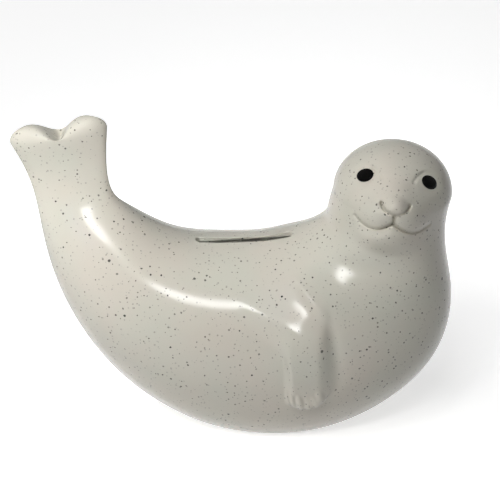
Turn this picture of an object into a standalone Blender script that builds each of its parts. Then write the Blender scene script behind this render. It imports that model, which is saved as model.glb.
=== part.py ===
"""Glazed ceramic coin bank in the form of a resting seal with its tail raised.

One slip-cast shell, hollow, with a coin slot in the saddle of the back and a plugged
hole in the foot. The eyes are pools of black glaze in two sockets, and a soft plug
closes the hole from below. Metres, +Z up, the head toward +X, the face toward -Y.
The origin is on the table, under the middle of the bank.
"""
import math
from collections import namedtuple

import bmesh
import bpy
import numpy as np
from mathutils import Matrix, Vector

# Shell
WALL = 0.004
TOUCH_GAP = 0.0003

# Body, without the flippers in relief
LENGTH = 0.170
BREADTH = 0.076
HEIGHT = 0.129

Section = namedtuple("Section", "back_x back_z belly_x belly_z half_width")


def section(back_x, back_z, belly_x, belly_z, half_width):
    """A ring of the body, from its shares of the length, the height and the breadth.

    It spans from the line of the back to the line of the belly, in the middle plane.
    """
    return Section(back_x * LENGTH, back_z * HEIGHT, belly_x * LENGTH, belly_z * HEIGHT, half_width * BREADTH)


FIN = section(-0.284, 0.963, -0.500, 0.910, 0.068)
ANKLE = section(-0.274, 0.744, -0.451, 0.735, 0.068)
TAIL_ROOT = section(-0.244, 0.702, -0.441, 0.644, 0.145)
RUMP = section(-0.142, 0.613, -0.400, 0.423, 0.301)
HIP = section(-0.051, 0.587, -0.284, 0.171, 0.416)
LOIN = section(0.005, 0.588, -0.096, -0.009, 0.474)
BELLY = section(0.057, 0.591, 0.127, -0.057, 0.500)
CHEST = section(0.102, 0.602, 0.331, 0.040, 0.500)
SHOULDER = section(0.135, 0.616, 0.469, 0.222, 0.429)
COLLAR = section(0.178, 0.643, 0.498, 0.434, 0.337)
NECK = section(0.204, 0.676, 0.480, 0.570, 0.311)
JAW = section(0.210, 0.709, 0.476, 0.667, 0.300)
BROW = section(0.219, 0.760, 0.486, 0.752, 0.300)
SECTIONS = (FIN, ANKLE, TAIL_ROOT, RUMP, HIP, LOIN, BELLY, CHEST, SHOULDER, COLLAR, NECK, JAW, BROW)

# Ends of the body and of the hollow: how far the tail's end stands out, how square it is,
# and the notch that parts the fin into two lobes
TailCap = namedtuple("TailCap", "reach squareness notch_depth")
FIN_REACH = 0.0068
FIN_NOTCH_DEPTH = 0.0080
FIN_NOTCH_HALF_WIDTH = 0.0105
FIN_NOTCH_ROUNDING = 0.0004
FIN_NOTCH_RUN = 0.0280
FIN_CAP = TailCap(FIN_REACH, 0.83, FIN_NOTCH_DEPTH)
CAVITY_REACH = 0.0080
CAVITY_CAP = TailCap(CAVITY_REACH, 1.0, 0.0)
CROWN_HEIGHT = 0.0188

# Fineness of the outer skin before it is thinned, and of the cavity
SKIN_SEGMENTS = 128
SKIN_RINGS = 176
SKIN_CAP_RINGS = 16
SKIN_KEEP = 0.14
CAVITY_SEGMENTS = 32
CAVITY_RINGS = 40
CAVITY_CAP_RINGS = 5

# The cavity starts a little below the ankle, where the tail is thick enough to be hollow:
# a share of the way from the fin to the brow
CAVITY_START = 0.130

# Face, in its own frame: forward out of the snout, with the head's turn, lift and tilt
HEAD_DROP = 0.0032
HEAD_CENTRE = Vector(((BROW.back_x + BROW.belly_x) / 2, 0.0, (BROW.back_z + BROW.belly_z) / 2 - HEAD_DROP))
HEAD_RADIUS = BROW.half_width
FACE_TURN = math.radians(-1.0)
FACE_LIFT = math.radians(30.0)
FACE_TILT = math.radians(5.9)
SNOUT_DROP = 0.0080
SNOUT_REACH = 0.0036
SNOUT_HALF_WIDTH = 0.0170
SNOUT_HALF_HEIGHT = 0.0130
SNOUT_FULLNESS = 3
PAD_SPREAD = 0.0062
PAD_DROP = 0.0078
PAD_RADIUS = 0.0064
PAD_RISE = 0.0012
NOSE_DROP = 0.0046
NOSE_HALF_WIDTH = 0.0054
NOSE_HALF_HEIGHT = 0.0032
NOSE_RISE = 0.0012
MOUTH_DROP = 0.0098
MOUTH_HALF_WIDTH = 0.0136
MOUTH_SAG = 0.0024
MOUTH_LIFT = 0.0015
MOUTH_WIDTH = 0.0011
MOUTH_DEPTH = 0.0009
CLEFT_DEPTH = 0.0008

# Eyes: oval sockets with a pool of black glaze in each
EYE_SPREAD = 0.0121
EYE_RISE = 0.0062
EYE_HALF_LENGTH = 0.0033
EYE_HALF_HEIGHT = 0.0027
EYE_SOCKET_DEPTH = 0.0022
EYE_SLANT = math.radians(27.0)
EYE_GLAZE_THICKNESS = 0.0007

# Fore flippers, in relief on both flanks. At some angles down from the back: where along
# the body the rear edge, the crest and the front edge run, as shares of the way from the
# fin to the brow, and how much of the full rise the crest has there
FLIPPER_RINGS = (
    (38.0, 0.488, 0.545, 0.755, 0.00), (48.0, 0.502, 0.570, 0.755, 0.10), (56.0, 0.538, 0.630, 0.752, 0.46),
    (62.0, 0.568, 0.655, 0.745, 0.82), (67.0, 0.593, 0.665, 0.737, 1.00), (75.0, 0.617, 0.670, 0.722, 0.98),
    (85.0, 0.618, 0.668, 0.706, 0.86), (95.0, 0.613, 0.664, 0.692, 0.76), (108.0, 0.608, 0.658, 0.680, 0.70),
)
FLIPPER_RISE = 0.0041
WRIST_TOP = 62.0
WRIST_LOW = 80.0
HAND_SOFTNESS = 0.0040
HAND_MIDDLE = 0.647
HAND_HALF_WIDTH = 0.0080
HAND_END = 108.0
HAND_END_SOFTNESS = 2.0
TIP_CURVE = 4.5

# Coin slot, cut straight down through the saddle of the back
SLOT_X = 0.0034
SLOT_LENGTH = 0.0376
SLOT_WIDTH = 0.0044

# Plug hole in the foot, with a sunk seat for the plug's flange
HOLE_DIAMETER = 0.0270
HOLE_X = 0.0140
SEAT_DEPTH = 0.0028
SEAT_CLEARANCE = 0.0006

# Soft plug
FLANGE_DIAMETER = 0.0310
FLANGE_THICKNESS = 0.0020
PLUG_WALL = 0.0020
LIP_OVERHANG = 0.0009
LIP_HEIGHT = 0.0026

FLOOR_THICKNESS = SEAT_DEPTH + WALL
ROUND_SEGMENTS = 40


def spline_through(knots, values, at):
    """Natural cubic spline through the rows of values, read at the given places."""
    count = len(knots)
    step = np.diff(knots)
    matrix = np.zeros((count, count))
    right = np.zeros_like(values)
    matrix[0, 0] = 1.0
    matrix[-1, -1] = 1.0
    for i in range(1, count - 1):
        matrix[i, i - 1:i + 2] = step[i - 1], 2.0 * (step[i - 1] + step[i]), step[i]
        right[i] = 6.0 * ((values[i + 1] - values[i]) / step[i] - (values[i] - values[i - 1]) / step[i - 1])
    bend = np.linalg.solve(matrix, right)
    k = np.clip(np.searchsorted(knots, at, side="right") - 1, 0, count - 2)
    width = step[k][:, None]
    a = (knots[k + 1] - at)[:, None] / width
    b = 1.0 - a
    curve = a * values[k] + b * values[k + 1]
    return curve + ((a ** 3 - a) * bend[k] + (b ** 3 - b) * bend[k + 1]) * width ** 2 / 6.0


def section_knots():
    """Distance along the body, tail to crown, at which each section stands."""
    rows = np.array(SECTIONS)
    back = np.linalg.norm(np.diff(rows[:, 0:2], axis=0), axis=1)
    belly = np.linalg.norm(np.diff(rows[:, 2:4], axis=0), axis=1)
    return np.concatenate([[0.0], np.cumsum((back + belly) / 2)])


def smooth_step(low, high, value):
    """0 below low, 1 above high, and a soft rise between them."""
    share = np.clip((value - low) / (high - low), 0.0, 1.0)
    return share * share * (3.0 - 2.0 * share)


def tail_reach(depth, along, tail_turn, cap):
    """How far the tail's end stands out from a point's own ring, less where the notch is."""
    away = np.sqrt(depth ** 2 + FIN_NOTCH_ROUNDING ** 2) - FIN_NOTCH_ROUNDING
    notch = np.clip(1.0 - away / FIN_NOTCH_HALF_WIDTH, 0.0, 1.0)
    notch = notch * (1.0 - smooth_step(0.0, FIN_NOTCH_RUN, along))
    return cap.reach * np.sin(tail_turn) - cap.notch_depth * notch


def body_points(along, around, tail_turn, crown_turn, inset, tail_cap):
    """Points of the body's skin, or of the cavity where inset is the wall.

    along is the distance on the body and around the angle from the back, down the
    face's side. tail_turn and crown_turn go from 0 on the last ring to a right angle at
    the pole of that end's cap.
    """
    ring = spline_through(section_knots(), np.array(SECTIONS), along)
    centre = (ring[:, 0:2] + ring[:, 2:4]) / 2
    half = (ring[:, 0:2] - ring[:, 2:4]) / 2
    half_depth = np.linalg.norm(half, axis=1)
    upward = half / half_depth[:, None]
    onward = np.stack([upward[:, 1], -upward[:, 0]], axis=1)
    narrowing = np.cos(tail_turn) ** tail_cap.squareness * np.cos(crown_turn)
    depth = (half_depth - inset) * narrowing * np.cos(around)
    side = (ring[:, 4] - inset) * narrowing * np.sin(around)
    reach = (CROWN_HEIGHT - inset) * np.sin(crown_turn) - tail_reach(depth, along, tail_turn, tail_cap)
    flat = centre + upward * depth[:, None] + onward * reach[:, None]
    return np.stack([flat[:, 0], -side, flat[:, 1]], axis=1)


def body_mesh(segments, rings, cap_rings, start=0.0, inset=0.0, tail_cap=FIN_CAP):
    """A closed body, and each point's distance along it and angle around it.

    It is a ball whose rings are spread from the tail, at its south pole, to the crown.
    start is the share of the body's run at which it begins.
    """
    ball = bmesh.new()
    bmesh.ops.create_uvsphere(ball, u_segments=segments, v_segments=rings, radius=1.0)
    points = np.array([v.co for v in ball.verts])
    level = np.arcsin(np.clip(points[:, 2], -1.0, 1.0)) / math.pi + 0.5
    row = np.rint(level * rings)
    around = np.arctan2(points[:, 1], points[:, 0])
    last = section_knots()[-1]
    share = np.clip((row - cap_rings) / (rings - 2 * cap_rings), 0.0, 1.0)
    along = last * (start + share * (1.0 - start))
    tail_turn = np.clip(1.0 - row / cap_rings, 0.0, 1.0) * math.pi / 2
    crown_turn = np.clip((row - rings + cap_rings) / cap_rings, 0.0, 1.0) * math.pi / 2
    placed = body_points(along, around, tail_turn, crown_turn, inset, tail_cap)
    for vert, point in zip(ball.verts, placed):
        vert.co = point
    ball.normal_update()
    bmesh.ops.recalc_face_normals(ball, faces=ball.faces)
    return ball, along, around


def cut_level(mesh, height):
    """Cut a closed mesh flat at a height and keep what is above."""
    everything = mesh.verts[:] + mesh.edges[:] + mesh.faces[:]
    cut = bmesh.ops.bisect_plane(
        mesh, geom=everything, dist=1e-7, plane_co=(0, 0, height), plane_no=(0, 0, -1), clear_outer=True
    )
    rim = [e for e in cut["geom_cut"] if isinstance(e, bmesh.types.BMEdge)]
    bmesh.ops.edgenet_fill(mesh, edges=rim)
    bmesh.ops.recalc_face_normals(mesh, faces=mesh.faces)


def face_frame():
    """Columns: the face's right as the viewer sees it, back into the head, and up."""
    turn = Matrix.Rotation(FACE_TURN, 3, "Z")
    lift = Matrix.Rotation(-FACE_LIFT, 3, "X")
    tilt = Matrix.Rotation(FACE_TILT, 3, "Y")
    return turn @ lift @ tilt


def bump(across, up, half_width, half_height, fullness=2):
    """Soft round hill: 1 at its middle, 0 from its rim outward, blunter when fuller."""
    radius = np.sqrt((across / half_width) ** 2 + (up / half_height) ** 2)
    return (1.0 - np.clip(radius, 0.0, 1.0) ** fullness) ** 2


def to_path(points, path):
    """Distance of each point to a chain of straight runs, and how far along it that is."""
    best = np.full(len(points), np.inf)
    place = np.zeros(len(points))
    runs = len(path) - 1
    for i in range(runs):
        run = path[i + 1] - path[i]
        share = np.clip((points - path[i]) @ run / (run @ run), 0.0, 1.0)
        away = np.linalg.norm(points - path[i] - share[:, None] * run, axis=1)
        place = np.where(away < best, (i + share) / runs, place)
        best = np.minimum(best, away)
    return best, place


def groove(flat, path, width):
    """Depth profile, 1 along a line drawn on the face and soft at both edges."""
    return np.exp(-((to_path(flat, path)[0] / (width / 2)) ** 2))


def mouth_line(side, count=13):
    """One half of the smile, from the cleft under the nose outward."""
    share = np.linspace(0.0, 1.0, count)
    across = side * MOUTH_HALF_WIDTH * share
    up = -MOUTH_DROP - MOUTH_SAG * np.sin(share * math.pi) + MOUTH_LIFT * share ** 3
    return np.stack([across, up], axis=1)


def shape_face(points):
    """Push the snout, whisker pads and nose forward, and press the mouth and cleft in."""
    frame = np.array(face_frame())
    local = (points - np.array(HEAD_CENTRE)) @ frame
    across, forward, up = local[:, 0], -local[:, 1], local[:, 2]
    flat = np.stack([across, up], axis=1)
    move = SNOUT_REACH * bump(across, up + SNOUT_DROP, SNOUT_HALF_WIDTH, SNOUT_HALF_HEIGHT, SNOUT_FULLNESS)
    for side in (-1.0, 1.0):
        move += PAD_RISE * bump(across - side * PAD_SPREAD, up + PAD_DROP, PAD_RADIUS, PAD_RADIUS)
    move += NOSE_RISE * bump(across, up + NOSE_DROP, NOSE_HALF_WIDTH, NOSE_HALF_HEIGHT)
    for side in (-1.0, 1.0):
        move -= MOUTH_DEPTH * groove(flat, mouth_line(side), MOUTH_WIDTH)
    cleft = np.array([(0.0, -NOSE_DROP - NOSE_HALF_HEIGHT * 0.6), (0.0, -MOUTH_DROP)])
    move -= CLEFT_DEPTH * groove(flat, cleft, MOUTH_WIDTH)
    move = np.where(forward > 0.0, move, 0.0)
    return points - move[:, None] * frame[:, 1]


def flipper_relief(along, around):
    """Height of a flipper over the flank: a round arm out of the shoulder, and a flat hand."""
    drop = np.degrees(np.arccos(np.cos(around)))
    run = section_knots()[-1]
    ring = np.array(FLIPPER_RINGS)
    at = spline_through(ring[:, 0], ring[:, 1:], np.clip(drop, ring[0, 0], ring[-1, 0]))
    rear, crest, front = at[:, 0:3].T * run
    hand = smooth_step(WRIST_TOP, WRIST_LOW, drop)
    climb = (crest - rear) * (1.0 - hand) + HAND_SOFTNESS * hand
    behind = smooth_step(0.0, 1.0, (along - rear) / climb)
    arm = 1.0 - smooth_step(0.0, 1.0, (along - crest) / (front - crest))
    flat = smooth_step(-HAND_SOFTNESS, HAND_SOFTNESS / 4, front - along)
    before = arm * (1.0 - hand) + flat * hand
    tips = HAND_END - TIP_CURVE * ((along - HAND_MIDDLE * run) / HAND_HALF_WIDTH) ** 2
    end = 1.0 - smooth_step(-HAND_END_SOFTNESS, HAND_END_SOFTNESS, drop - tips)
    return FLIPPER_RISE * at[:, 3] * behind * before * end


def outer_mesh():
    """The skin of the seal with its relief, cut flat where it stands."""
    skin, along, around = body_mesh(SKIN_SEGMENTS, SKIN_RINGS, SKIN_CAP_RINGS)
    points = np.array([v.co for v in skin.verts])
    normals = np.array([v.normal for v in skin.verts])
    points = shape_face(points + normals * flipper_relief(along, around)[:, None])
    for vert, point in zip(skin.verts, points):
        vert.co = point
    cut_level(skin, 0.0)
    return skin


def cavity_mesh():
    """The hollow: the body again, a wall thickness in, level over the plug's seat."""
    hollow = body_mesh(
        CAVITY_SEGMENTS, CAVITY_RINGS, CAVITY_CAP_RINGS, start=CAVITY_START, inset=WALL, tail_cap=CAVITY_CAP
    )[0]
    cut_level(hollow, FLOOR_THICKNESS)
    return hollow


def slot_mesh():
    """A round-ended bar that stands through the saddle from the cavity to above the back."""
    bar = bmesh.new()
    radius = SLOT_WIDTH / 2
    half = SLOT_LENGTH / 2 - radius
    low = SHOULDER.belly_z
    high = SHOULDER.back_z + 2 * WALL
    bmesh.ops.create_circle(bar, cap_ends=False, segments=ROUND_SEGMENTS // 2, radius=radius)
    for vert in bar.verts:
        vert.co.x += math.copysign(half, vert.co.x) if abs(vert.co.x) > 1e-6 else half
        vert.co.x += SLOT_X
        vert.co.z = low
    rim = bmesh.ops.edgeloop_fill(bar, edges=bar.edges)["faces"]
    grown = bmesh.ops.extrude_face_region(bar, geom=rim)["geom"]
    top = [v for v in grown if isinstance(v, bmesh.types.BMVert)]
    bmesh.ops.translate(bar, verts=top, vec=(0, 0, high - low))
    bmesh.ops.recalc_face_normals(bar, faces=bar.faces)
    return bar


def turned_mesh(profile, centre):
    """Turn a closed profile of (radius, height) points round the vertical through centre."""
    body = bmesh.new()
    verts = [body.verts.new((radius, 0.0, height)) for radius, height in profile]
    edges = [body.edges.new(pair) for pair in zip(verts[:-1], verts[1:])]
    bmesh.ops.spin(
        body, geom=verts + edges, cent=(0, 0, 0), axis=(0, 0, 1), angle=math.tau,
        steps=ROUND_SEGMENTS, use_merge=True,
    )
    bmesh.ops.remove_doubles(body, verts=body.verts, dist=1e-6)
    bmesh.ops.recalc_face_normals(body, faces=body.faces)
    bmesh.ops.translate(body, verts=body.verts, vec=centre)
    return body


def hole_mesh():
    """Seat and hole together, from below the foot into the cavity."""
    seat = FLANGE_DIAMETER / 2 + SEAT_CLEARANCE
    hole = HOLE_DIAMETER / 2
    below = -WALL
    above = FLOOR_THICKNESS + WALL
    profile = [(0, below), (seat, below), (seat, SEAT_DEPTH), (hole, SEAT_DEPTH), (hole, above), (0, above)]
    return turned_mesh(profile, (HOLE_X, 0, 0))


def plug_mesh():
    """Soft plug: a flange in its seat, a hollow stem, and a lip that catches over the floor."""
    flange = FLANGE_DIAMETER / 2
    stem = HOLE_DIAMETER / 2 - TOUCH_GAP
    lip = HOLE_DIAMETER / 2 + LIP_OVERHANG
    flange_top = SEAT_DEPTH - TOUCH_GAP
    flange_low = flange_top - FLANGE_THICKNESS
    lip_low = FLOOR_THICKNESS + TOUCH_GAP
    lip_top = lip_low + LIP_HEIGHT
    inside = stem - PLUG_WALL
    profile = [
        (0, flange_low),
        (flange - FLANGE_THICKNESS / 4, flange_low),
        (flange, flange_low + FLANGE_THICKNESS / 4),
        (flange, flange_top),
        (stem, flange_top),
        (stem, lip_low),
        (lip, lip_low),
        (stem - TOUCH_GAP, lip_top),
        (inside, lip_top),
        (inside, flange_top),
        (0, flange_top),
    ]
    return turned_mesh(profile, (HOLE_X, 0, 0))


def face_forward(across, up):
    """How far the head and snout stand forward of the head's centre at a spot of the face."""
    head = math.sqrt(max(HEAD_RADIUS ** 2 - across ** 2 - up ** 2, 0.0))
    reach = bump(across, up + SNOUT_DROP, SNOUT_HALF_WIDTH, SNOUT_HALF_HEIGHT, SNOUT_FULLNESS)
    snout = SNOUT_REACH * float(reach)
    return head + snout


def eye_matrix(side):
    """Frame of one socket: its origin on the skin, Z out of the head, X along the oval."""
    across = side * EYE_SPREAD
    forward = face_forward(across, EYE_RISE)
    spot = Vector((across, -forward, EYE_RISE))
    out = spot.normalized()
    along = Vector((math.cos(EYE_SLANT), 0.0, -side * math.sin(EYE_SLANT)))
    along = (along - along.dot(out) * out).normalized()
    rotation = Matrix((along, out.cross(along), out)).transposed()
    world = face_frame() @ rotation
    return Matrix.Translation(HEAD_CENTRE + face_frame() @ spot) @ world.to_4x4()


def oval_mesh(half_length, half_height, half_depth, matrix):
    """An egg-shaped ball, placed by a socket's frame."""
    ball = bmesh.new()
    bmesh.ops.create_uvsphere(ball, u_segments=16, v_segments=10, radius=1.0)
    bmesh.ops.scale(ball, verts=ball.verts, vec=(half_length, half_height, half_depth))
    bmesh.ops.transform(ball, verts=ball.verts, matrix=matrix)
    return ball


def material(name, colour, roughness, metallic=0.0):
    """A plain Principled material."""
    made = bpy.data.materials.new(name)
    made.use_nodes = True
    shader = made.node_tree.nodes["Principled BSDF"]
    shader.inputs["Base Color"].default_value = (*colour, 1.0)
    shader.inputs["Roughness"].default_value = roughness
    shader.inputs["Metallic"].default_value = metallic
    made.diffuse_color = (*colour, 1.0)
    return made


def add_object(name, shape, finish=None):
    """Turn a bmesh into a named object in the scene."""
    mesh = bpy.data.meshes.new(name)
    shape.to_mesh(mesh)
    shape.free()
    made = bpy.data.objects.new(name, mesh)
    bpy.context.scene.collection.objects.link(made)
    if finish is not None:
        mesh.materials.append(finish)
    return made


def smooth(thing, angle=math.radians(35)):
    """Shade a piece smooth apart from its real corners."""
    thing.data.shade_smooth()
    thing.data.set_sharp_from_angle(angle=angle)


def add_cutter(name, shape):
    """An object that only cuts: drawn as wire and left out of the model."""
    made = add_object(name, shape)
    made.hide_render = True
    made.display_type = "WIRE"
    return made


def subtract(thing, cutter):
    """Cut one object with another by an exact Boolean."""
    modifier = thing.modifiers.new(cutter.name, "BOOLEAN")
    modifier.operation = "DIFFERENCE"
    modifier.object = cutter
    modifier.solver = "EXACT"


def make_shell(glaze):
    """The one ceramic casting."""
    shell = add_object("seal_shell", outer_mesh(), glaze)
    smooth(shell)
    thin = shell.modifiers.new("thin_skin", "DECIMATE")
    thin.ratio = SKIN_KEEP
    thin.use_collapse_triangulate = True
    subtract(shell, add_cutter("cut_cavity", cavity_mesh()))
    subtract(shell, add_cutter("cut_coin_slot", slot_mesh()))
    subtract(shell, add_cutter("cut_plug_hole", hole_mesh()))
    for side, name in ((-1.0, "left"), (1.0, "right")):
        socket = oval_mesh(EYE_HALF_LENGTH, EYE_HALF_HEIGHT, EYE_SOCKET_DEPTH, eye_matrix(side))
        subtract(shell, add_cutter("cut_socket_" + name, socket))
    return shell


def make_eye(side, name, black):
    """A pool of black glaze, thin and dished, lying in its socket."""
    matrix = eye_matrix(side)
    half_length = EYE_HALF_LENGTH - TOUCH_GAP
    half_height = EYE_HALF_HEIGHT - TOUCH_GAP
    depth = EYE_SOCKET_DEPTH - TOUCH_GAP
    pool = add_object(name, oval_mesh(half_length, half_height, depth, matrix), black)
    smooth(pool)
    lifted = matrix @ Matrix.Translation((0, 0, EYE_GLAZE_THICKNESS))
    hollow = oval_mesh(half_length * 1.5, half_height * 1.5, depth, lifted)
    subtract(pool, add_cutter("cut_" + name, hollow))
    return pool


def main():
    """Clear the scene and build the bank."""
    for thing in list(bpy.data.objects):
        bpy.data.objects.remove(thing)
    glaze = material("speckled_glaze", (0.62, 0.58, 0.50), 0.25)
    black = material("black_glaze", (0.010, 0.010, 0.012), 0.08)
    soft = material("plug_rubber", (0.70, 0.69, 0.66), 0.55)
    make_shell(glaze)
    make_eye(-1.0, "eye_glaze_left", black)
    make_eye(1.0, "eye_glaze_right", black)
    smooth(add_object("base_stopper", plug_mesh(), soft))


main()
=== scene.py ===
"""The glazed ceramic seal bank: fine surface, glaze, eyes, plug, studio and camera."""
import math
from collections import namedtuple

import bmesh
import bpy
import numpy as np
from mathutils import Matrix, Vector
from mathutils.bvhtree import BVHTree


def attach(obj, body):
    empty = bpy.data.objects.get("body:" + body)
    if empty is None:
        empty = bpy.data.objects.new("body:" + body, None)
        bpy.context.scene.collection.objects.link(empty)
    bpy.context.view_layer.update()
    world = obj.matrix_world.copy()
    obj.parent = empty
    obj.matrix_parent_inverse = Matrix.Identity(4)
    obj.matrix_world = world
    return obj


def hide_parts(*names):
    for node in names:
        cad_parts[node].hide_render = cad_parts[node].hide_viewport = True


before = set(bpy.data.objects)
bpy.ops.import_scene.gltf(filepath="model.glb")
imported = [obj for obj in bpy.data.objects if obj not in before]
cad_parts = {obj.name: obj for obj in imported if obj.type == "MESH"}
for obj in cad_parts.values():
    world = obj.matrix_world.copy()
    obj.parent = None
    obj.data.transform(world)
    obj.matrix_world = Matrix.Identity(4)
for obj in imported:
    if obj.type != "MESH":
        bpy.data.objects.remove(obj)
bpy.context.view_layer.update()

# Body of the seal, as in the solid: rings from the tail fin to the crown, each from the
# line of the back to the line of the belly, with a half width. All lengths in metres
WALL = 0.004
LENGTH = 0.170
BREADTH = 0.076
HEIGHT = 0.129
Section = namedtuple("Section", "back_x back_z belly_x belly_z half_width")


def section(back_x, back_z, belly_x, belly_z, half_width):
    """A ring of the body, from its shares of the length, the height and the breadth."""
    back = (back_x * LENGTH, back_z * HEIGHT)
    belly = (belly_x * LENGTH, belly_z * HEIGHT)
    return Section(*back, *belly, half_width * BREADTH)


FIN = section(-0.284, 0.963, -0.500, 0.910, 0.068)
ANKLE = section(-0.274, 0.744, -0.451, 0.735, 0.068)
TAIL_ROOT = section(-0.244, 0.702, -0.441, 0.644, 0.145)
RUMP = section(-0.142, 0.613, -0.400, 0.423, 0.301)
HIP = section(-0.051, 0.587, -0.284, 0.171, 0.416)
LOIN = section(0.005, 0.588, -0.096, -0.009, 0.474)
BELLY = section(0.057, 0.591, 0.127, -0.057, 0.500)
CHEST = section(0.102, 0.602, 0.331, 0.040, 0.500)
SHOULDER = section(0.135, 0.616, 0.469, 0.222, 0.429)
COLLAR = section(0.178, 0.643, 0.498, 0.434, 0.337)
NECK = section(0.204, 0.676, 0.480, 0.570, 0.311)
JAW = section(0.210, 0.709, 0.476, 0.667, 0.300)
BROW = section(0.219, 0.760, 0.486, 0.752, 0.300)
SECTIONS = (FIN, ANKLE, TAIL_ROOT, RUMP, HIP, LOIN, BELLY, CHEST, SHOULDER, COLLAR, NECK, JAW, BROW)

# Ends of the body and of the hollow: how far the tail's end stands out, how square it is,
# and the notch that parts the fin into two lobes, with a fine crease running down from it
TailCap = namedtuple("TailCap", "reach squareness notch_depth")
FIN_NOTCH_HALF_WIDTH = 0.0118
FIN_NOTCH_ROUNDING = 0.0010
FIN_EDGE = 1.0
LOBE_FULLNESS = 0.85
VALLEY_DEPTH = 0.0003
VALLEY_WIDTH = 0.0012
VALLEY_RUN = 0.0070
FIN_CAP = TailCap(0.0068, 0.83, 0.0080)
CAVITY_CAP = TailCap(0.0080, 1.0, 0.0)
CAVITY_START = 0.130
CROWN_HEIGHT = 0.0188

# Fineness of the skin: rings are close together at the hands and on the face, and the
# columns crowd toward the side that the face is on
SKIN_SEGMENTS = 316
SEGMENT_CROWDING = 0.42
FIN_CAP_ROWS = 24
BODY_ROWS = (
    (0.0, 0.122, 50),
    (0.122, 0.137, 13),
    (0.137, 0.154, 44),
    (0.154, 0.196, 27),
    (0.196, 0.212, 22),
)
JAW_ROWS = 34
CROWN_ROWS = ((0.0, 58.0, 64), (58.0, 90.0, 8))

# Face frame: forward out of the snout, with the head's turn, lift and tilt
HEAD_DROP = 0.0032
HEAD_X = (BROW.back_x + BROW.belly_x) / 2
HEAD_Z = (BROW.back_z + BROW.belly_z) / 2 - HEAD_DROP
HEAD_CENTRE = Vector((HEAD_X, 0.0, HEAD_Z))
FACE_TURN = math.radians(-1.0)
FACE_LIFT = math.radians(30.0)
FACE_TILT = math.radians(5.9)

# Mounds of the face: across, up, half width, half height, rise, fullness
Mound = namedtuple("Mound", "across up half_width half_height rise fullness")
SNOUT = Mound(0.0, -0.0085, 0.0185, 0.0150, 0.0042, 2.6)
BRIDGE = Mound(0.0, -0.0010, 0.0080, 0.0120, 0.0010, 2.0)
WHISKER_PAD = Mound(0.0062, -0.0092, 0.0082, 0.0062, 0.0013, 2.2)
NOSE_TIP = Mound(0.0, -0.0050, 0.0056, 0.0048, 0.0022, 2.2)
CHIN = Mound(0.0, -0.0170, 0.0150, 0.0062, 0.0016, 2.0)
THROAT = Mound(0.0, -0.0270, 0.0190, 0.0085, -0.0016, 2.0)

# Lines pressed into the face
MOUTH_DROP = 0.0110
MOUTH_HALF_WIDTH = 0.0142
MOUTH_SAG = 0.0027
MOUTH_LIFT = 0.0019
LIP_STEP = 0.0007
LINE_WIDTH = 0.0010
MOUTH_DEPTH = 0.0017
NOSTRIL = (
    (0.0053, -0.0038),
    (0.0049, -0.0052),
    (0.0037, -0.0066),
    (0.0020, -0.0077),
    (0.0, -0.0085),
)
NOSTRIL_DEPTH = 0.0020
CLEFT_DEPTH = 0.0017

# Eyes: a shallow socket, and in it an oval dish of black glaze
EYE_SPREAD = 0.0121
EYE_RISE = 0.0062
EYE_SLANT = math.radians(27.0)
EYE_HALF_LENGTH = 0.0032
EYE_HALF_HEIGHT = 0.00255
EYE_DISH = 0.0004
SOCKET_HALF_LENGTH = 0.0054
SOCKET_HALF_HEIGHT = 0.0045
SOCKET_DEPTH = 0.0007
EYE_FOLD = ((0.0062, 0.0056), (0.0072, 0.0076), (0.0092, 0.0092))
EYE_FOLD_DEPTH = 0.0007
EYE_FOLD_WIDTH = 0.0014
EYE_GLAZE_THICKNESS = 0.00150
EYE_GAP = 0.00003

# Fore flippers, in relief on both flanks. At some angles down from the back: where along
# the body the rear edge, the crest and the front edge run, as shares of the way from the
# fin to the brow, and how much of the full rise the crest has there
FLIPPER_RINGS = (
    (38.0, 0.488, 0.545, 0.755, 0.00),
    (48.0, 0.502, 0.570, 0.755, 0.10),
    (56.0, 0.538, 0.630, 0.752, 0.36),
    (62.0, 0.568, 0.655, 0.745, 0.62),
    (67.0, 0.593, 0.665, 0.737, 0.82),
    (75.0, 0.617, 0.670, 0.722, 1.00),
    (85.0, 0.618, 0.668, 0.706, 0.94),
    (95.0, 0.613, 0.664, 0.692, 0.86),
    (108.0, 0.608, 0.658, 0.680, 0.78),
)
FLIPPER_RISE = 0.0036
WRIST_TOP = 62.0
WRIST_LOW = 80.0
HAND_SOFTNESS = 0.0058
HAND_REAR = 0.0042
HAND_MIDDLE = 0.647
HAND_HALF_WIDTH = 0.0080
HAND_END = 108.0
HAND_END_SOFTNESS = 2.0
TIP_CURVE = 4.5

# Finer forms of a flipper: the tips of the toes, the ridge of the shoulder and the
# groove before the hand
TOES = ((0.1402, 99.0), (0.1430, 102.0), (0.1454, 104.5), (0.1477, 104.5), (0.1500, 102.5))
TOE_HALF_WIDTH = 0.0012
TOE_HALF_LENGTH = 4.2
TOE_RISE = 0.0013
RIDGE_RISE = 0.0016
RIDGE_START = 0.1630
RIDGE_RAKE = 0.00019
RIDGE_WIDTH = 0.0036
RIDGE_FRONT = 0.0200
RIDGE_BEGINS = (32.0, 46.0)
RIDGE_FADES = (58.0, 78.0)
GROOVE_BEGINS = (58.0, 72.0)
GROOVE_FADES = (98.0, 106.0)
GROOVE_AHEAD = 0.0025
GROOVE_DEPTH = 0.0008
GROOVE_WIDTH = 0.0030

# Coin slot, with softly rounded lips. Below its straight wall it is wider by SLOT_RELIEF
SLOT_X = 0.0034
SLOT_LENGTH = 0.0376
SLOT_WIDTH = 0.0040
LIP_ROUND = 0.0006
SLOT_WALL = 0.0021
SLOT_RELIEF = 0.0030

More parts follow.
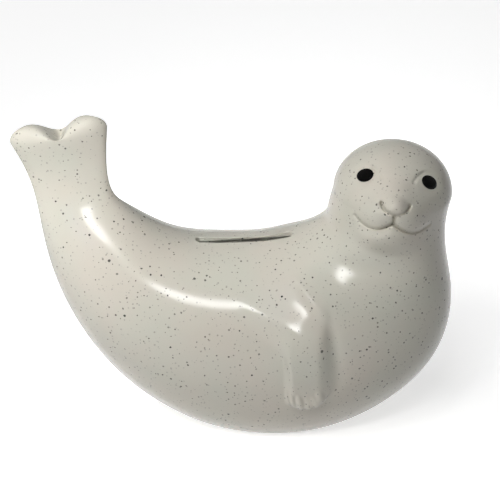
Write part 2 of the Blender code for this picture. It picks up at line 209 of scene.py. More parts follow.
# Plug and its hole
HOLE_DIAMETER = 0.0270
HOLE_X = 0.0140
SEAT_DEPTH = 0.0028
SEAT_CLEARANCE = 0.0006
FLANGE_DIAMETER = 0.0310
FLANGE_THICKNESS = 0.0020
TOUCH_GAP = 0.0003
PLUG_WALL = 0.0020
LIP_OVERHANG = 0.0009
LIP_HEIGHT = 0.0026
FLOOR_THICKNESS = SEAT_DEPTH + WALL
FOOT_ROUNDING = 0.0006

# Camera of the photograph
CAMERA_AIM = Vector((-0.0018, 0.0, 0.0534))
CAMERA_ELEVATION = math.radians(30.0)
CAMERA_DISTANCE = 0.75
CAMERA_LENS = 137.06
CAMERA_SHIFT = (0.038, 0.080)


def spline_through(knots, values, at):
    """Natural cubic spline through the rows of values, read at the given places."""
    count = len(knots)
    step = np.diff(knots)
    matrix = np.zeros((count, count))
    right = np.zeros_like(values)
    matrix[0, 0] = 1.0
    matrix[-1, -1] = 1.0
    for i in range(1, count - 1):
        matrix[i, i - 1:i + 2] = step[i - 1], 2.0 * (step[i - 1] + step[i]), step[i]
        slope_on = (values[i + 1] - values[i]) / step[i]
        slope_back = (values[i] - values[i - 1]) / step[i - 1]
        right[i] = 6.0 * (slope_on - slope_back)
    bend = np.linalg.solve(matrix, right)
    k = np.clip(np.searchsorted(knots, at, side="right") - 1, 0, count - 2)
    width = step[k][:, None]
    a = (knots[k + 1] - at)[:, None] / width
    b = 1.0 - a
    curve = a * values[k] + b * values[k + 1]
    return curve + ((a ** 3 - a) * bend[k] + (b ** 3 - b) * bend[k + 1]) * width ** 2 / 6.0


def section_knots():
    """Distance along the body, tail to crown, at which each section stands."""
    rows = np.array(SECTIONS)
    back = np.linalg.norm(np.diff(rows[:, 0:2], axis=0), axis=1)
    belly = np.linalg.norm(np.diff(rows[:, 2:4], axis=0), axis=1)
    return np.concatenate([[0.0], np.cumsum((back + belly) / 2)])


def smooth_step(low, high, value):
    """0 below low, 1 above high, and a soft rise between them."""
    share = np.clip((value - low) / (high - low), 0.0, 1.0)
    return share * share * (3.0 - 2.0 * share)


def tail_reach(depth, tail_turn, cap):
    """How far the tail's end stands out from a point's own ring, less where the notch is."""
    away = np.sqrt(depth ** 2 + FIN_NOTCH_ROUNDING ** 2) - FIN_NOTCH_ROUNDING
    notch = np.clip(1.0 - away / FIN_NOTCH_HALF_WIDTH, 0.0, 1.0) ** 2
    notch = notch * np.sin(tail_turn) ** FIN_EDGE
    return cap.reach * np.sin(tail_turn) ** LOBE_FULLNESS - cap.notch_depth * notch


class Loft:
    """A ball whose points are spread over the seal's body, with each point's place on it."""

    def __init__(self, segments, crowding, tail_turns, places, crown_turns, inset, tail_cap):
        """tail_turns and crown_turns are the caps' angles, and places the rings between."""
        rows = len(tail_turns) + len(places) + len(crown_turns) - 1
        self.mesh = bmesh.new()
        bmesh.ops.create_uvsphere(self.mesh, u_segments=segments, v_segments=rows, radius=1.0)
        ball = self.points()
        level = np.arcsin(np.clip(ball[:, 2], -1.0, 1.0)) / math.pi + 0.5
        row = np.rint(level * rows).astype(int)
        column = np.arctan2(ball[:, 1], ball[:, 0])
        none_tail = np.zeros(len(tail_turns))
        none_body = np.zeros(len(places))
        none_crown = np.zeros(len(crown_turns))
        self.along = np.concatenate([none_tail + places[0], places, none_crown + places[-1]])[row]
        self.tail_turn = np.concatenate([tail_turns, none_body, none_crown])[row]
        self.crown_turn = np.concatenate([none_tail, none_body, crown_turns])[row]
        self.around = column + crowding * np.cos(column)
        self.place(inset, tail_cap)

    def points(self):
        """The points as an array."""
        return np.array([vert.co for vert in self.mesh.verts])

    def move_to(self, points):
        """Put the points in new places."""
        for vert, point in zip(self.mesh.verts, points):
            vert.co = point
        self.mesh.normal_update()

    def normals(self):
        """The points' normals as an array."""
        return np.array([vert.normal for vert in self.mesh.verts])

    def place(self, inset, tail_cap):
        """Spread the points over the body's skin, or over the cavity where inset is the wall."""
        ring = spline_through(section_knots(), np.array(SECTIONS), self.along)
        centre = (ring[:, 0:2] + ring[:, 2:4]) / 2
        half = (ring[:, 0:2] - ring[:, 2:4]) / 2
        half_depth = np.linalg.norm(half, axis=1)
        upward = half / half_depth[:, None]
        onward = np.stack([upward[:, 1], -upward[:, 0]], axis=1)
        narrowing = np.cos(self.tail_turn) ** tail_cap.squareness * np.cos(self.crown_turn)
        self.depth = (half_depth - inset) * narrowing * np.cos(self.around)
        side = (ring[:, 4] - inset) * narrowing * np.sin(self.around)
        reach = (CROWN_HEIGHT - inset) * np.sin(self.crown_turn)
        reach = reach - tail_reach(self.depth, self.tail_turn, tail_cap)
        flat = centre + upward * self.depth[:, None] + onward * reach[:, None]
        self.move_to(np.stack([flat[:, 0], -side, flat[:, 1]], axis=1))
        bmesh.ops.recalc_face_normals(self.mesh, faces=self.mesh.faces)


def runs(pieces):
    """Places of rows from runs of (from, to, count), each run up to but without its end."""
    parts = [np.linspace(start, end, count, endpoint=False) for start, end, count in pieces]
    return np.concatenate(parts)


def seal_loft():
    """The plain body with fine rows at the fin, the hands and the face."""
    last = section_knots()[-1]
    tail_turns = np.linspace(math.pi / 2, 0.0, FIN_CAP_ROWS, endpoint=False)
    places = runs(BODY_ROWS + ((BODY_ROWS[-1][1], last, JAW_ROWS),))
    crown_turns = np.radians(np.append(runs(CROWN_ROWS), CROWN_ROWS[-1][1]))
    places = np.append(places, last)
    return Loft(
        SKIN_SEGMENTS, SEGMENT_CROWDING, tail_turns, places, crown_turns[1:],
        inset=0.0, tail_cap=FIN_CAP,
    )


def bump(across, up, mound):
    """Soft round hill of a mound: 1 at its middle, 0 from its rim outward."""
    sideways = (across - mound.across) / mound.half_width
    upward = (up - mound.up) / mound.half_height
    radius = np.sqrt(sideways ** 2 + upward ** 2)
    return (1.0 - np.clip(radius, 0.0, 1.0) ** mound.fullness) ** 2


def to_path(points, path):
    """Distance of each point to a chain of straight runs, and how far along it that is."""
    best = np.full(len(points), np.inf)
    place = np.zeros(len(points))
    count = len(path) - 1
    for i in range(count):
        run = path[i + 1] - path[i]
        share = np.clip((points - path[i]) @ run / (run @ run), 0.0, 1.0)
        away = np.linalg.norm(points - path[i] - share[:, None] * run, axis=1)
        place = np.where(away < best, (i + share) / count, place)
        best = np.minimum(best, away)
    return best, place


def line(flat, path, width):
    """Depth profile, 1 along a line drawn on the face and soft at both edges."""
    return np.exp(-((to_path(flat, path)[0] / (width / 2)) ** 2))


def mouth_height(across):
    """Height of the smile's line at a distance across the face."""
    share = np.clip(np.abs(across) / MOUTH_HALF_WIDTH, 0.0, 1.0)
    return -MOUTH_DROP - MOUTH_SAG * np.sin(share * math.pi) + MOUTH_LIFT * share ** 3


def face_frame():
    """Columns: the face's right as the viewer sees it, back into the head, and up."""
    turn = Matrix.Rotation(FACE_TURN, 3, "Z")
    lift = Matrix.Rotation(-FACE_LIFT, 3, "X")
    tilt = Matrix.Rotation(FACE_TILT, 3, "Y")
    return turn @ lift @ tilt


def socket_depth(across, up, side):
    """How deep an eye's socket and dish are pressed into the face at a spot of it."""
    beside = across - side * EYE_SPREAD
    above = up - EYE_RISE
    along_x = math.cos(EYE_SLANT) * beside - side * math.sin(EYE_SLANT) * above
    over = side * math.sin(EYE_SLANT) * beside + math.cos(EYE_SLANT) * above
    outward = along_x * side
    socket = np.sqrt((along_x / SOCKET_HALF_LENGTH) ** 2 + (over / SOCKET_HALF_HEIGHT) ** 2)
    turn = np.arctan2(over, -outward)
    fold = np.exp(-((turn - math.radians(35.0)) / math.radians(50.0)) ** 2)
    softness = 0.50 - 0.36 * fold
    hollow = 1.0 - smooth_step(0.95 - softness, 0.95 + softness * 0.5, socket)
    dish = np.sqrt((along_x / EYE_HALF_LENGTH) ** 2 + (over / EYE_HALF_HEIGHT) ** 2)
    bowl = np.clip(1.0 - dish ** 2, 0.0, 1.0) ** 0.5
    return SOCKET_DEPTH * hollow + EYE_DISH * bowl


def shape_face(points):
    """Model the snout, pads, nose and chin, and press in the mouth, nostrils and eyes."""
    axes = np.array(face_frame())
    local = (points - np.array(HEAD_CENTRE)) @ axes
    across, forward, up = local[:, 0], -local[:, 1], local[:, 2]
    flat = np.stack([across, up], axis=1)
    spread = np.abs(across)
    mirrored = np.stack([spread, up], axis=1)
    move = np.zeros(len(points))
    for mound in (SNOUT, BRIDGE, CHIN, THROAT):
        move += mound.rise * bump(across, up, mound)
    above_mouth = smooth_step(-0.0003, 0.0003, up - mouth_height(across))
    in_smile = 1.0 - smooth_step(0.8, 1.05, spread / MOUTH_HALF_WIDTH)
    move += WHISKER_PAD.rise * bump(spread, up, WHISKER_PAD) * (0.35 + 0.65 * above_mouth)
    below_band = smooth_step(-0.0045, -0.0005, up - mouth_height(across))
    move -= LIP_STEP * (1.0 - above_mouth) * below_band * in_smile
    share = np.linspace(0.0, 1.0, 15)
    smile = np.stack([MOUTH_HALF_WIDTH * share, mouth_height(MOUTH_HALF_WIDTH * share)], axis=1)
    away, place = to_path(mirrored, smile)
    move -= MOUTH_DEPTH * np.exp(-((away / (LINE_WIDTH / 2)) ** 2)) * (1.0 - 0.6 * place)
    move += NOSE_TIP.rise * bump(across, up, NOSE_TIP)
    nostril = np.array(NOSTRIL)
    away, place = to_path(mirrored, nostril)
    move -= NOSTRIL_DEPTH * np.exp(-((away / (LINE_WIDTH / 2)) ** 2)) * (1.0 - 0.5 * place)
    cleft = np.array([(0.0, NOSTRIL[-1][1]), (0.0, -MOUTH_DROP)])
    move -= CLEFT_DEPTH * line(flat, cleft, LINE_WIDTH)
    fold = np.array(EYE_FOLD)
    move -= EYE_FOLD_DEPTH * line(mirrored, fold, EYE_FOLD_WIDTH)
    for side in (-1.0, 1.0):
        move -= socket_depth(across, up, side)
    move = np.where(forward > 0.0, move, 0.0)
    return points - move[:, None] * axes[:, 1]


def flipper_relief(along, around):
    """Height of a flipper over the flank: a round arm out of the shoulder, and a flat hand."""
    drop = np.degrees(np.arccos(np.cos(around)))
    run = section_knots()[-1]
    ring = np.array(FLIPPER_RINGS)
    at = spline_through(ring[:, 0], ring[:, 1:], np.clip(drop, ring[0, 0], ring[-1, 0]))
    rear, crest, front = at[:, 0:3].T * run
    hand = smooth_step(WRIST_TOP, WRIST_LOW, drop)
    climb = (crest - rear) * (1.0 - hand) + HAND_REAR * hand
    behind = smooth_step(0.0, 1.0, (along - rear) / climb)
    arm = 1.0 - smooth_step(0.0, 1.0, (along - crest) / (front - crest))
    flat = smooth_step(-HAND_SOFTNESS / 2, HAND_SOFTNESS, front - along)
    before = arm * (1.0 - hand) + flat * hand
    tips = HAND_END - TIP_CURVE * ((along - HAND_MIDDLE * run) / HAND_HALF_WIDTH) ** 2
    end = 1.0 - smooth_step(-HAND_END_SOFTNESS, HAND_END_SOFTNESS, drop - tips)
    rise = FLIPPER_RISE * at[:, 3] * behind * before * end
    for place, low in TOES:
        away = ((along - place) / TOE_HALF_WIDTH) ** 2 + ((drop - low) / TOE_HALF_LENGTH) ** 2
        rise = rise + TOE_RISE * np.exp(-away ** 1.5)
    ridge = RIDGE_START + RIDGE_RAKE * (drop - ring[0, 0])
    shoulder = smooth_step(*RIDGE_BEGINS, drop) * (1.0 - smooth_step(*RIDGE_FADES, drop))
    ahead = np.clip(1.0 - (along - ridge) / RIDGE_FRONT, 0.0, 1.0) ** 1.3
    profile = np.where(along < ridge, np.exp(-((along - ridge) / RIDGE_WIDTH) ** 2), ahead)
    rise = rise + RIDGE_RISE * shoulder * profile
    beside = smooth_step(*GROOVE_BEGINS, drop) * (1.0 - smooth_step(*GROOVE_FADES, drop))
    return rise - GROOVE_DEPTH * beside * np.exp(-((along - front - GROOVE_AHEAD) / GROOVE_WIDTH) ** 2)


def tail_valley(loft):
    """Depth of the soft crease that runs down from the fin's notch on both faces."""
    across = np.abs(loft.depth)
    fade = 1.0 - smooth_step(0.0, VALLEY_RUN, loft.along)
    return VALLEY_DEPTH * np.exp(-((across / VALLEY_WIDTH) ** 2)) * fade


def stand(points):
    """Level the belly where it stands, with a rounded edge to the foot."""
    height = points[:, 2]
    levelled = points.copy()
    levelled[:, 2] = (height + np.sqrt(height ** 2 + FOOT_ROUNDING ** 2)) / 2
    return levelled


def seal_skin():
    """The outer skin with all its relief."""
    loft = seal_loft()
    points = loft.points()
    relief = flipper_relief(loft.along, loft.around) - tail_valley(loft)
    points = points + loft.normals() * relief[:, None]
    loft.move_to(stand(shape_face(points)))
    return loft.mesh


def hollow_shape():
    """The hollow of the casting, a wall thickness in, level over the plug's seat."""
    tail_turns = np.linspace(math.pi / 2, 0.0, 6, endpoint=False)
    last = section_knots()[-1]
    places = np.linspace(CAVITY_START * last, last, 44)
    crown_turns = np.linspace(0.0, math.pi / 2, 9)[1:]
    hollow = Loft(64, 0.0, tail_turns, places, crown_turns, inset=WALL, tail_cap=CAVITY_CAP)
    mesh = hollow.mesh
    everything = mesh.verts[:] + mesh.edges[:] + mesh.faces[:]
    cut = bmesh.ops.bisect_plane(
        mesh, geom=everything, dist=1e-7, plane_co=(0, 0, FLOOR_THICKNESS), plane_no=(0, 0, -1),
        clear_outer=True,
    )
    rim = [e for e in cut["geom_cut"] if isinstance(e, bmesh.types.BMEdge)]
    bmesh.ops.edgenet_fill(mesh, edges=rim)
    bmesh.ops.recalc_face_normals(mesh, faces=mesh.faces)
    return mesh


def slot_ring(mesh, spread, height_of):
    """A round-ended ring of the slot's outline, spread outward, at heights read from the skin."""
    radius = SLOT_WIDTH / 2 + spread
    half = (SLOT_LENGTH - SLOT_WIDTH) / 2
    made = bmesh.ops.create_circle(mesh, cap_ends=False, segments=48, radius=radius)["verts"]
    for vert in made:
        vert.co.x += SLOT_X + (math.copysign(half, vert.co.x) if abs(vert.co.x) > 1e-7 else half)
        vert.co.z = height_of(vert.co.x, vert.co.y)
    return made


def slot_shape(skin):
    """Cutter of the coin slot: straight walls below, and lips that roll out over the back."""
    tree = BVHTree.FromBMesh(skin)
    top = SHOULDER.back_z + 0.02

    def surface(x, y):
        return tree.ray_cast((x, y, top), (0, 0, -1))[0].z

    bar = bmesh.new()
    levels = [
        (SLOT_RELIEF, lambda x, y: SHOULDER.belly_z),
        (SLOT_RELIEF, lambda x, y: surface(x, y) - SLOT_WALL - SLOT_RELIEF / 2),
        (0.0, lambda x, y: surface(x, y) - SLOT_WALL),
    ]
    steps = 7
    for i in range(steps + 1):
        turn = math.radians(78.0) * i / steps
        spread = LIP_ROUND * (1.0 - math.cos(turn))
        drop = LIP_ROUND * (1.0 - math.sin(turn))
        levels.append((spread, lambda x, y, drop=drop: surface(x, y) - drop))
    levels.append((LIP_ROUND * 1.6, lambda x, y: surface(x, y) + LIP_ROUND * 0.12))
    levels.append((LIP_ROUND * 1.6, lambda x, y: top))
    rings = [slot_ring(bar, spread, height_of) for spread, height_of in levels]
    bar.verts.ensure_lookup_table()
    for lower, upper in zip(rings[:-1], rings[1:]):
        count = len(lower)
        for i in range(count):
            j = (i + 1) % count
            bar.faces.new((lower[i], lower[j], upper[j], upper[i]))
    bar.faces.new(rings[0])
    bar.faces.new(rings[-1])
    bmesh.ops.recalc_face_normals(bar, faces=bar.faces)
    return bar


def turned_shape(profile, centre, steps):
    """Turn a profile of (radius, height) points round the vertical through centre."""
    body = bmesh.new()
    verts = [body.verts.new((radius, 0.0, height)) for radius, height in profile]
    edges = [body.edges.new(pair) for pair in zip(verts[:-1], verts[1:])]
    bmesh.ops.spin(
        body, geom=verts + edges, cent=(0, 0, 0), axis=(0, 0, 1), angle=math.tau, steps=steps,
        use_merge=True,
    )
    bmesh.ops.remove_doubles(body, verts=body.verts, dist=1e-6)
    bmesh.ops.recalc_face_normals(body, faces=body.faces)
    bmesh.ops.translate(body, verts=body.verts, vec=centre)
    return body


def hole_shape():
    """Seat and hole of the plug together, from below the foot into the hollow."""
    seat = FLANGE_DIAMETER / 2 + SEAT_CLEARANCE
    hole = HOLE_DIAMETER / 2
    above = FLOOR_THICKNESS + WALL
    profile = [(0, -WALL), (seat, -WALL), (seat, SEAT_DEPTH)]
    profile += [(hole, SEAT_DEPTH), (hole, above), (0, above)]
    return turned_shape(profile, (HOLE_X, 0, 0), 96)


def add_piece(name, shape, finish=None):
    """Turn a bmesh into a named object of the scene."""
    mesh = bpy.data.meshes.new(name)
    shape.to_mesh(mesh)
    shape.free()
    made = bpy.data.objects.new(name, mesh)
    bpy.context.scene.collection.objects.link(made)
    if finish is not None:
        mesh.materials.append(finish)
    return made


def cut_away(thing, cutters):
    """Subtract the cutters one after another, keep the result and delete the cutters."""
    for cutter in cutters:
        modifier = thing.modifiers.new(cutter.name, "BOOLEAN")
        modifier.operation = "DIFFERENCE"
        modifier.solver = "EXACT"
        modifier.object = cutter
    bpy.context.view_layer.update()
    evaluated = thing.evaluated_get(bpy.context.evaluated_depsgraph_get())
    result = bpy.data.meshes.new_from_object(evaluated)
    thing.modifiers.clear()
    thing.data = result
    for cutter in cutters:
        bpy.data.objects.remove(cutter)


def eye_shape(side, tree):
    """A thin pool of glaze that follows the dish under it and ends in a fine round edge."""
    pool = bmesh.new()
    bmesh.ops.create_uvsphere(pool, u_segments=72, v_segments=24, radius=1.0)
    axes = face_frame()
    centre = Vector(HEAD_CENTRE)
    shrink = 0.985
    for vert in pool.verts:
        along_x = vert.co.x * EYE_HALF_LENGTH * shrink
        over = vert.co.y * EYE_HALF_HEIGHT * shrink
        across = side * EYE_SPREAD + math.cos(EYE_SLANT) * along_x + side * math.sin(EYE_SLANT) * over
        up = EYE_RISE - side * math.sin(EYE_SLANT) * along_x + math.cos(EYE_SLANT) * over
        start = centre + axes @ Vector((across, -0.05, up))
        hit = tree.ray_cast(start, axes @ Vector((0, 1, 0)))[0]
        thickness = EYE_GAP + EYE_GLAZE_THICKNESS * max(vert.co.z, 0.0)
        vert.co = hit - (axes @ Vector((0, 1, 0))) * thickness
    bmesh.ops.recalc_face_normals(pool, faces=pool.faces)
    return pool


def plug_shape():
    """The soft plug with rounded edges and a shallow ring pressed into its flange."""
    flange = FLANGE_DIAMETER / 2
    stem = HOLE_DIAMETER / 2 - TOUCH_GAP
    lip = HOLE_DIAMETER / 2 + LIP_OVERHANG
    top = SEAT_DEPTH - TOUCH_GAP
    low = top - FLANGE_THICKNESS
    lip_low = FLOOR_THICKNESS + TOUCH_GAP
    lip_top = lip_low + LIP_HEIGHT
    inside = stem - PLUG_WALL
    ring = flange * 0.62
    edge = FLANGE_THICKNESS / 4
    profile = [(0, low), (ring - 0.0012, low), (ring - 0.0006, low + 0.0004)]
    profile += [(ring + 0.0006, low + 0.0004), (ring + 0.0012, low)]
    for i in range(7):
        turn = math.radians(15.0 * i)
        profile.append((flange - edge + edge * math.sin(turn), low + edge - edge * math.cos(turn)))
    profile += [(flange, top), (stem, top), (stem, lip_low), (lip, lip_low)]
    profile += [(stem - TOUCH_GAP, lip_top), (inside, lip_top), (inside, top), (0, top)]
    return turned_shape(profile, (HOLE_X, 0, 0), 96)


def add_node(tree, kind, **values):
    """A node with some of its inputs set by name, where a space is written as _."""
    made = tree.nodes.new(kind)
    for name, value in values.items():
        made.inputs[name.replace("_", " ")].default_value = value
    return made


def maths(tree, operation, first, second, third=None, clamp=False):
    """A maths node on sockets or numbers; its output."""
    made = tree.nodes.new("ShaderNodeMath")
    made.operation = operation
    made.use_clamp = clamp
    for socket, value in zip(made.inputs, (first, second, third)):
        if isinstance(value, bpy.types.NodeSocket):
            tree.links.new(value, socket)
        elif value is not None:
            socket.default_value = value
    return made.outputs[0]


def mix_colour(tree, factor, first, second):
    """Mix two colours, each a socket or an RGB triple; its output."""
    made = tree.nodes.new("ShaderNodeMix")
    made.data_type = "RGBA"
    pairs = ((made.inputs[0], factor), (made.inputs[6], first), (made.inputs[7], second))
    for socket, value in pairs:
        if isinstance(value, bpy.types.NodeSocket):
            tree.links.new(value, socket)
        elif isinstance(value, tuple):
            socket.default_value = (*value, 1.0)
        else:
            socket.default_value = value
    return made.outputs[2]


def noise(tree, place, scale, detail=2.0, roughness=0.5):
    """Noise texture on the piece's own coordinates; its node."""
    made = add_node(tree, "ShaderNodeTexNoise", Scale=scale, Detail=detail, Roughness=roughness)
    tree.links.new(place, made.inputs["Vector"])
    return made


def specks(tree, place, scale, radius, share, softness=0.00009):
    """Mask of grains scattered in the glaze, scale of them per metre each way, up to radius."""
    grains = add_node(tree, "ShaderNodeTexVoronoi", Scale=scale)
    tree.links.new(place, grains.inputs["Vector"])
    chance = tree.nodes.new("ShaderNodeSeparateColor")
    tree.links.new(grains.outputs["Color"], chance.inputs[0])
    size = maths(tree, "MULTIPLY_ADD", chance.outputs[0], 0.6 * radius * scale, 0.4 * radius * scale)
    inside = maths(tree, "SUBTRACT", size, grains.outputs["Distance"])
    mask = maths(tree, "MULTIPLY", inside, 1.0 / (softness * scale), clamp=True)
    kept = maths(tree, "LESS_THAN", chance.outputs[1], share)
    strength = maths(tree, "MULTIPLY_ADD", chance.outputs[2], 0.40, 0.60)
    return maths(tree, "MULTIPLY", maths(tree, "MULTIPLY", mask, kept), strength)


# Finishes: the glaze's two tones and its clouding, the bare clay of the foot, and the specks
# by how many per metre, how large, what share of them shows, how strongly, and their colour
GLAZE_WARM = (0.635, 0.590, 0.510)
GLAZE_COOL = (0.600, 0.592, 0.508)
GLAZE_CLOUD = (0.52, 0.49, 0.43)
BARE_CLAY = (0.62, 0.52, 0.40)
SPECKS = (
    (620.0, 0.00042, 0.90, 0.55, (0.17, 0.15, 0.12)),
    (440.0, 0.00046, 0.90, 0.95, (0.050, 0.042, 0.035)),
    (290.0, 0.00050, 0.75, 1.0, (0.016, 0.014, 0.012)),
    (150.0, 0.00068, 0.40, 1.0, (0.005, 0.005, 0.005)),
)
BLACK_DEEP = (0.0012, 0.0012, 0.0015)
BLACK_BROWN = (0.0030, 0.0025, 0.0020)
PLUG_DARK = (0.60, 0.59, 0.56)
PLUG_PALE = (0.66, 0.65, 0.61)


def glaze_material():
    """Warm grey-beige gloss glaze, faintly blotched, with dark iron specks under the gloss."""
    made = bpy.data.materials.new("speckled_glaze")
    made.use_nodes = True
    tree = made.node_tree
    shader = tree.nodes["Principled BSDF"]
    place = tree.nodes.new("ShaderNodeTexCoord").outputs["Object"]
    wobble = noise(tree, place, 2200.0, detail=1.0)
    shift = tree.nodes.new("ShaderNodeVectorMath")
    shift.operation = "MULTIPLY_ADD"
    tree.links.new(wobble.outputs["Color"], shift.inputs[0])
    shift.inputs[1].default_value = (0.0004, 0.0004, 0.0004)
    tree.links.new(place, shift.inputs[2])
    ragged = shift.outputs[0]

    blotch = noise(tree, place, 38.0, detail=2.0).outputs["Fac"]
    spread = maths(tree, "MULTIPLY_ADD", blotch, 3.0, -1.0, clamp=True)
    colour = mix_colour(tree, spread, GLAZE_COOL, GLAZE_WARM)
    cloud = noise(tree, place, 160.0, detail=3.0).outputs["Fac"]
    cloudy = maths(tree, "MULTIPLY_ADD", cloud, 0.10, 0.0)
    colour = mix_colour(tree, cloudy, colour, GLAZE_CLOUD)

    for scale, radius, share, weight, tone in SPECKS:
        grains = specks(tree, ragged, scale, radius, share)
        colour = mix_colour(tree, maths(tree, "MULTIPLY", grains, weight), colour, tone)

    split = tree.nodes.new("ShaderNodeSeparateXYZ")
    tree.links.new(place, split.inputs[0])
    bare = maths(tree, "MULTIPLY_ADD", split.outputs[2], -4000.0, 1.6, clamp=True)
    colour = mix_colour(tree, bare, colour, BARE_CLAY)
    tree.links.new(colour, shader.inputs["Base Color"])

    gloss = noise(tree, place, 90.0, detail=2.0).outputs["Fac"]
    rough = maths(tree, "MULTIPLY_ADD", gloss, 0.05, 0.14)
    rough = maths(tree, "ADD", rough, maths(tree, "MULTIPLY", bare, 0.5))
    tree.links.new(rough, shader.inputs["Roughness"])
    shader.inputs["IOR"].default_value = 1.5

    wave = noise(tree, place, 70.0, detail=1.0).outputs["Fac"]
    ripple = add_node(tree, "ShaderNodeBump", Strength=0.25, Distance=0.0006)
    tree.links.new(wave, ripple.inputs["Height"])
    tree.links.new(ripple.outputs[0], shader.inputs["Normal"])
    return made


def black_material():
    """Thick glossy black glaze, with a faint brown cast where it thins out."""
    made = bpy.data.materials.new("black_glaze")
    made.use_nodes = True
    tree = made.node_tree
    shader = tree.nodes["Principled BSDF"]
    place = tree.nodes.new("ShaderNodeTexCoord").outputs["Object"]
    cast = noise(tree, place, 300.0, detail=2.0).outputs["Fac"]
    tree.links.new(mix_colour(tree, cast, BLACK_DEEP, BLACK_BROWN), shader.inputs["Base Color"])
    gloss = noise(tree, place, 500.0, detail=1.0).outputs["Fac"]
    tree.links.new(maths(tree, "MULTIPLY_ADD", gloss, 0.04, 0.06), shader.inputs["Roughness"])
    shader.inputs["IOR"].default_value = 1.45
    shader.inputs["Specular IOR Level"].default_value = 0.10
    return made


def plug_material():
    """Soft translucent-looking grey plug with a fine moulded grain."""
    made = bpy.data.materials.new("plug_rubber")
    made.use_nodes = True
    tree = made.node_tree
    shader = tree.nodes["Principled BSDF"]
    place = tree.nodes.new("ShaderNodeTexCoord").outputs["Object"]
    tone = noise(tree, place, 260.0, detail=3.0).outputs["Fac"]
    tree.links.new(mix_colour(tree, tone, PLUG_DARK, PLUG_PALE), shader.inputs["Base Color"])
    shader.inputs["Roughness"].default_value = 0.55
    shader.inputs["Subsurface Weight"].default_value = 0.15
    grain = noise(tree, place, 2500.0, detail=2.0).outputs["Fac"]
    moulded = add_node(tree, "ShaderNodeBump", Strength=0.2, Distance=0.0001)
    tree.links.new(grain, moulded.inputs["Height"])
    tree.links.new(moulded.outputs[0], shader.inputs["Normal"])
    return made


def smooth(thing, angle=math.radians(40)):
    """Shade a piece smooth apart from its real corners."""
    thing.data.shade_smooth()
    thing.data.set_sharp_from_angle(angle=angle)


def make_bank():
    """The casting, its eyes and its plug, each riding on the one body."""
    glaze = glaze_material()
    skin = seal_skin()
    tree = BVHTree.FromBMesh(skin)
    cutters = [
        add_piece("cut_hollow", hollow_shape()),
        add_piece("cut_slot", slot_shape(skin)),
        add_piece("cut_hole", hole_shape()),
    ]
    shell = add_piece("seal_body", skin, glaze)
    cut_away(shell, cutters)
    smooth(shell)
    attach(shell, "root")
    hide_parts("seal_shell")
    black = black_material()
    for side, name in ((-1.0, "left"), (1.0, "right")):
        eye = add_piece("eye_" + name, eye_shape(side, tree), black)
        eye.data.shade_smooth()
        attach(eye, "root")
        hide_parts("eye_glaze_" + name)
    plug = add_piece("foot_plug", plug_shape(), plug_material())
    smooth(plug)
    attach(plug, "root")
    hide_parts("base_stopper")


def seen_directly(tree):
    """1 for rays from the camera or by way of a mirror or glass, and 0 for the light's own."""
    path = tree.nodes.new("ShaderNodeLightPath")
    through_glass = path.outputs["Is Transmission Ray"]
    mirrored = maths(tree, "MAXIMUM", path.outputs["Is Glossy Ray"], through_glass)
    return maths(tree, "MAXIMUM", path.outputs["Is Camera Ray"], mirrored)


NARROW_SPREAD = math.radians(30.0)
FLOOR_SIZE = 6.0
FLOOR_COLOUR = (0.90, 0.90, 0.90)
FLOOR_LIFT = 0.66
WORLD_LIGHT = 0.03
WORLD_SEEN = 0.42


def make_floor():
    """Plain pale floor that shows white and keeps the bank's shadow."""
    sheet = bmesh.new()
    bmesh.ops.create_grid(sheet, x_segments=1, y_segments=1, size=FLOOR_SIZE / 2)
    made = bpy.data.materials.new("studio_floor")
    made.use_nodes = True
    tree = made.node_tree
    shader = tree.nodes["Principled BSDF"]
    shader.inputs["Base Color"].default_value = (*FLOOR_COLOUR, 1.0)
    shader.inputs["Roughness"].default_value = 1.0
    shader.inputs["Specular IOR Level"].default_value = 0.0
    shader.inputs["Emission Color"].default_value = (1.0, 1.0, 1.0, 1.0)
    lift = maths(tree, "MULTIPLY", seen_directly(tree), FLOOR_LIFT)
    tree.links.new(lift, shader.inputs["Emission Strength"])
    add_piece("studio_floor", sheet, made)


def make_world():
    """Even studio fill, seen as white."""
    world = bpy.data.worlds.new("studio_fill")
    bpy.context.scene.world = world
    world.use_nodes = True
    tree = world.node_tree
    fill = tree.nodes["Background"]
    fill.inputs["Color"].default_value = (1.0, 1.0, 1.0, 1.0)
    level = maths(tree, "MULTIPLY_ADD", seen_directly(tree), WORLD_SEEN - WORLD_LIGHT, WORLD_LIGHT)
    tree.links.new(level, fill.inputs["Strength"])


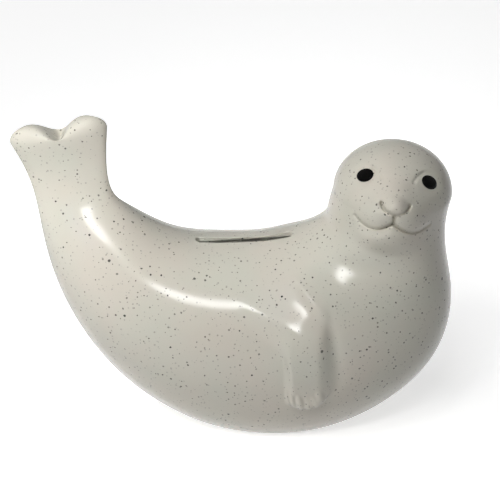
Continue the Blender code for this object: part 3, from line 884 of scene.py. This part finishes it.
def make_softbox(name, place, aim, width, height, power, colour=(1.0, 1.0, 1.0)):
    """A rectangular lamp at a place, turned to a point."""
    lamp = bpy.data.lights.new(name, "AREA")
    lamp.shape = "RECTANGLE"
    lamp.size = width
    lamp.size_y = height
    lamp.energy = power
    lamp.color = colour
    made = bpy.data.objects.new(name, lamp)
    bpy.context.scene.collection.objects.link(made)
    made.location = place
    made.rotation_mode = "QUATERNION"
    made.rotation_quaternion = (Vector(aim) - Vector(place)).to_track_quat("-Z", "Y")
    return made


def make_fill(name, place, aim, width, height, power):
    """A soft lamp that lights the piece and isn't mirrored in the glaze."""
    made = make_softbox(name, place, aim, width, height, power)
    made.visible_glossy = False
    return made


def make_lights():
    """A small softbox over the front, mirrored in the glaze, and fills that aren't.

    The fills are broad from the left and behind, and narrow on the tail and the head.
    """
    make_softbox("key", (-0.08, -0.50, 0.60), (0.0, 0.0, 0.06), 0.20, 0.13, 1.15)
    make_fill("high_left", (-0.35, -0.30, 0.60), (-0.05, 0.0, 0.06), 0.30, 0.30, 0.90)
    make_fill("left", (-1.0, -0.3, 0.6), (0.0, 0.0, 0.06), 0.8, 0.8, 1.0)
    make_fill("top_left", (-0.6, 0.1, 1.1), (0.0, 0.0, 0.06), 0.6, 0.6, 2.0)
    make_fill("back", (0.0, 1.0, 0.8), (0.0, 0.0, 0.06), 1.0, 0.6, 0.7)
    for name, place, aim, power in (
        ("tail_light", (-0.24, -0.34, 0.34), (-0.070, 0.0, 0.115), 0.056),
        ("head_light", (-0.12, -0.26, 0.50), (0.052, -0.010, 0.112), 0.019),
    ):
        made = make_fill(name, place, aim, 0.12, 0.12, power)
        made.data.spread = NARROW_SPREAD


def make_camera():
    """The photograph's viewpoint, with the frame shifted to where the bank stands in it."""
    lens = bpy.data.cameras.new("camera")
    lens.lens = CAMERA_LENS
    lens.shift_x, lens.shift_y = CAMERA_SHIFT
    made = bpy.data.objects.new("camera", lens)
    bpy.context.scene.collection.objects.link(made)
    away = Vector((0.0, -math.cos(CAMERA_ELEVATION), math.sin(CAMERA_ELEVATION)))
    made.location = CAMERA_AIM + away * CAMERA_DISTANCE
    made.rotation_euler = (math.pi / 2 - CAMERA_ELEVATION, 0.0, 0.0)
    bpy.context.scene.camera = made


make_camera()
make_bank()
make_floor()
make_world()
make_lights()
bpy.context.scene.view_settings.view_transform = "Standard"
